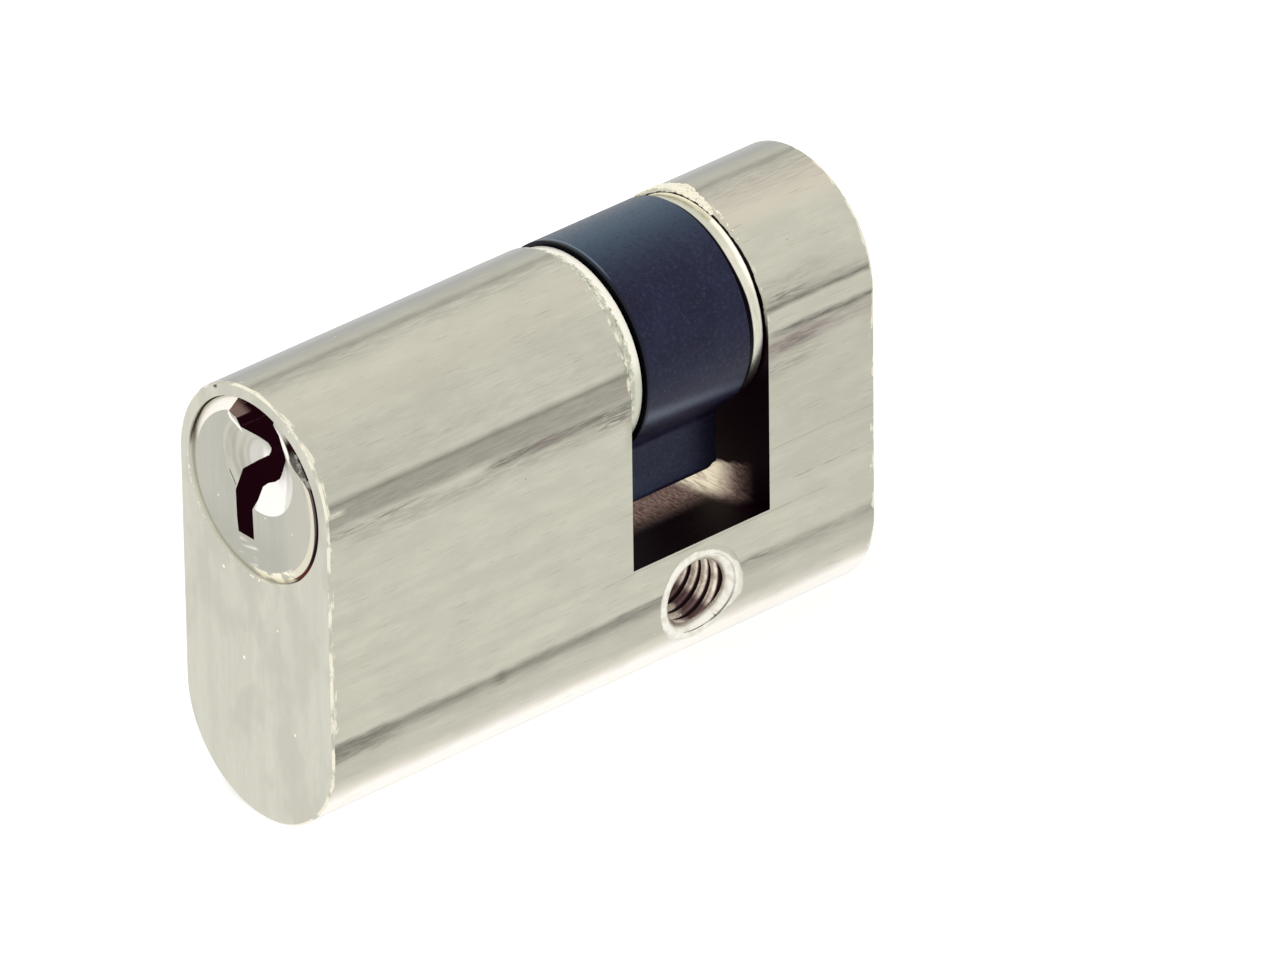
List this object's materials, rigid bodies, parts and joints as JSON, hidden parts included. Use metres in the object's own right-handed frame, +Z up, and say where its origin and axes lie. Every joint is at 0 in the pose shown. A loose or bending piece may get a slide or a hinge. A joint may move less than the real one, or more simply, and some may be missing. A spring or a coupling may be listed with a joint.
{
  "type": "oval half cylinder",
  "caption": "Lock cylinder of oval section with a keyed plug, a turning cam in a milled slot and a tapped cross hole for the fixing screw.",
  "frame": {"origin": "on the fixing screw's axis, at the middle of the body's width", "axes": "+X across the width and along the fixing screw, +Y from the key side to the rear, +Z up from the screw to the plug"},
  "size_m": [0.0154, 0.0482, 0.0331],
  "materials": {
    "satin_nickel": "satin nickel plate on brass, drawn lines along the length",
    "plug_nickel": "nickel plate on brass, fine turned face",
    "blackened_steel": "blue-black oxide on sintered steel",
    "bright_steel": "bright spring steel",
    "pin_brass": "plain turned brass",
    "spring_bronze": "bronze spring wire"
  },
  "bodies": {
    "housing": {"body": "satin_nickel", "chamber_plug_1": "pin_brass", "chamber_plug_2": "pin_brass", "chamber_plug_3": "pin_brass", "chamber_plug_4": "pin_brass", "chamber_plug_5": "pin_brass", "spring_1": "spring_bronze", "spring_2": "spring_bronze", "spring_3": "spring_bronze", "spring_4": "spring_bronze", "spring_5": "spring_bronze"},
    "plug_set": {"plug": "plug_nickel", "cam": "blackened_steel", "retaining_ring": "bright_steel"},
    "key_pin_1_slider": {"key_pin_1": "pin_brass"},
    "key_pin_2_slider": {"key_pin_2": "pin_brass"},
    "key_pin_3_slider": {"key_pin_3": "pin_brass"},
    "key_pin_4_slider": {"key_pin_4": "pin_brass"},
    "key_pin_5_slider": {"key_pin_5": "pin_brass"},
    "driver_pin_1_slider": {"driver_pin_1": "pin_brass"},
    "driver_pin_2_slider": {"driver_pin_2": "pin_brass"},
    "driver_pin_3_slider": {"driver_pin_3": "pin_brass"},
    "driver_pin_4_slider": {"driver_pin_4": "pin_brass"},
    "driver_pin_5_slider": {"driver_pin_5": "pin_brass"}
  },
  "joints": [
    {"name": "plug_turn", "type": "hinge", "parent": "housing", "child": "plug_set", "pos_m": [0, 0, 0.0177], "axis": [0, 1, 0], "continuous": true},
    {"name": "key_pin_1_lift", "type": "slide", "parent": "plug_set", "child": "key_pin_1_slider", "axis": [0, 0, 1], "range_m": [0, 0.0032]},
    {"name": "key_pin_2_lift", "type": "slide", "parent": "plug_set", "child": "key_pin_2_slider", "axis": [0, 0, 1], "range_m": [0, 0.0022]},
    {"name": "key_pin_3_lift", "type": "slide", "parent": "plug_set", "child": "key_pin_3_slider", "axis": [0, 0, 1], "range_m": [0, 0.0037]},
    {"name": "key_pin_4_lift", "type": "slide", "parent": "plug_set", "child": "key_pin_4_slider", "axis": [0, 0, 1], "range_m": [0, 0.0017]},
    {"name": "key_pin_5_lift", "type": "slide", "parent": "plug_set", "child": "key_pin_5_slider", "axis": [0, 0, 1], "range_m": [0, 0.0027]},
    {"name": "driver_pin_1_press", "type": "slide", "parent": "housing", "child": "driver_pin_1_slider", "axis": [0, 0, 1], "range_m": [-0.003, 0], "stiffness_N_per_m": 60, "deforming": ["spring_1"]},
    {"name": "driver_pin_2_press", "type": "slide", "parent": "housing", "child": "driver_pin_2_slider", "axis": [0, 0, 1], "range_m": [-0.003, 0], "stiffness_N_per_m": 60, "deforming": ["spring_2"]},
    {"name": "driver_pin_3_press", "type": "slide", "parent": "housing", "child": "driver_pin_3_slider", "axis": [0, 0, 1], "range_m": [-0.003, 0], "stiffness_N_per_m": 60, "deforming": ["spring_3"]},
    {"name": "driver_pin_4_press", "type": "slide", "parent": "housing", "child": "driver_pin_4_slider", "axis": [0, 0, 1], "range_m": [-0.003, 0], "stiffness_N_per_m": 60, "deforming": ["spring_4"]},
    {"name": "driver_pin_5_press", "type": "slide", "parent": "housing", "child": "driver_pin_5_slider", "axis": [0, 0, 1], "range_m": [-0.003, 0], "stiffness_N_per_m": 60, "deforming": ["spring_5"]}
  ]
}
